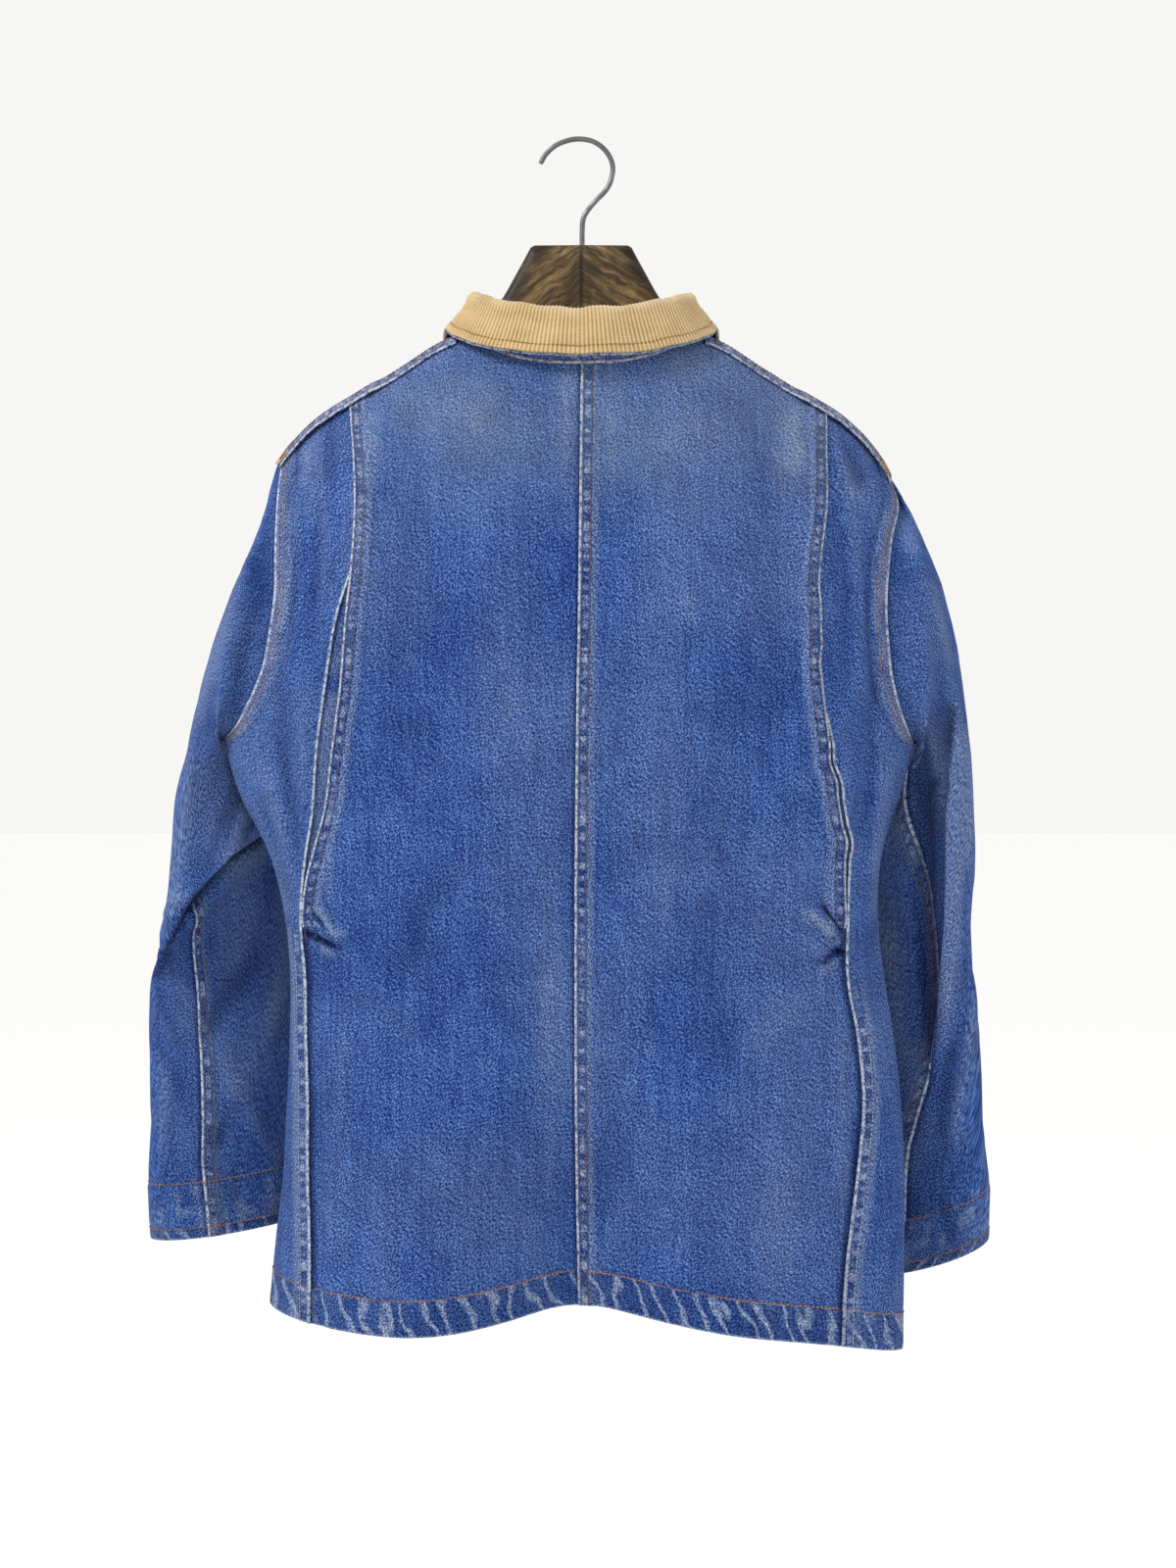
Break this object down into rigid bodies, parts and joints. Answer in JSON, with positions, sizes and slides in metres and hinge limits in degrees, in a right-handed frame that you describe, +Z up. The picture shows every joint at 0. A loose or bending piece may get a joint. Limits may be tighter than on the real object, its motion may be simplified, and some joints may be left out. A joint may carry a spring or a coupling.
{
  "type": "denim jacket on hanger",
  "caption": "Long-sleeved denim work jacket with a corduroy collar and pleated back, buttoned and hanging on a wooden hanger with a wire hook.",
  "frame": {"origin": "the point inside the top of the hook's arch that bears on the rail or peg", "axes": "+Z up; the jacket's back faces -Y and its buttoned fronts face +Y; the wearer's left sleeve is on -X"},
  "size_m": [0.656, 0.1898, 0.9273],
  "materials": {
    "denim": "worn indigo twill, matt",
    "corduroy": "tan corduroy, matt pile",
    "hanger_wood": "dark worn varnish",
    "hook_steel": "dull steel wire",
    "button_metal": "aged, satin"
  },
  "bodies": {
    "root": {"back_left": "denim", "back_right": "denim", "front_left": "denim", "front_right": "denim", "pleat_left": "denim", "pleat_right": "denim", "sleeve_left": "denim", "sleeve_right": "denim", "collar": "corduroy", "under_collar": "denim", "neck_band": "denim", "button_1": "button_metal", "button_2": "button_metal", "button_3": "button_metal", "button_4": "button_metal", "button_5": "button_metal", "hanger_arm_left": "hanger_wood", "hanger_arm_right": "hanger_wood", "hanger_hook": "hook_steel"}
  },
  "joints": []
}
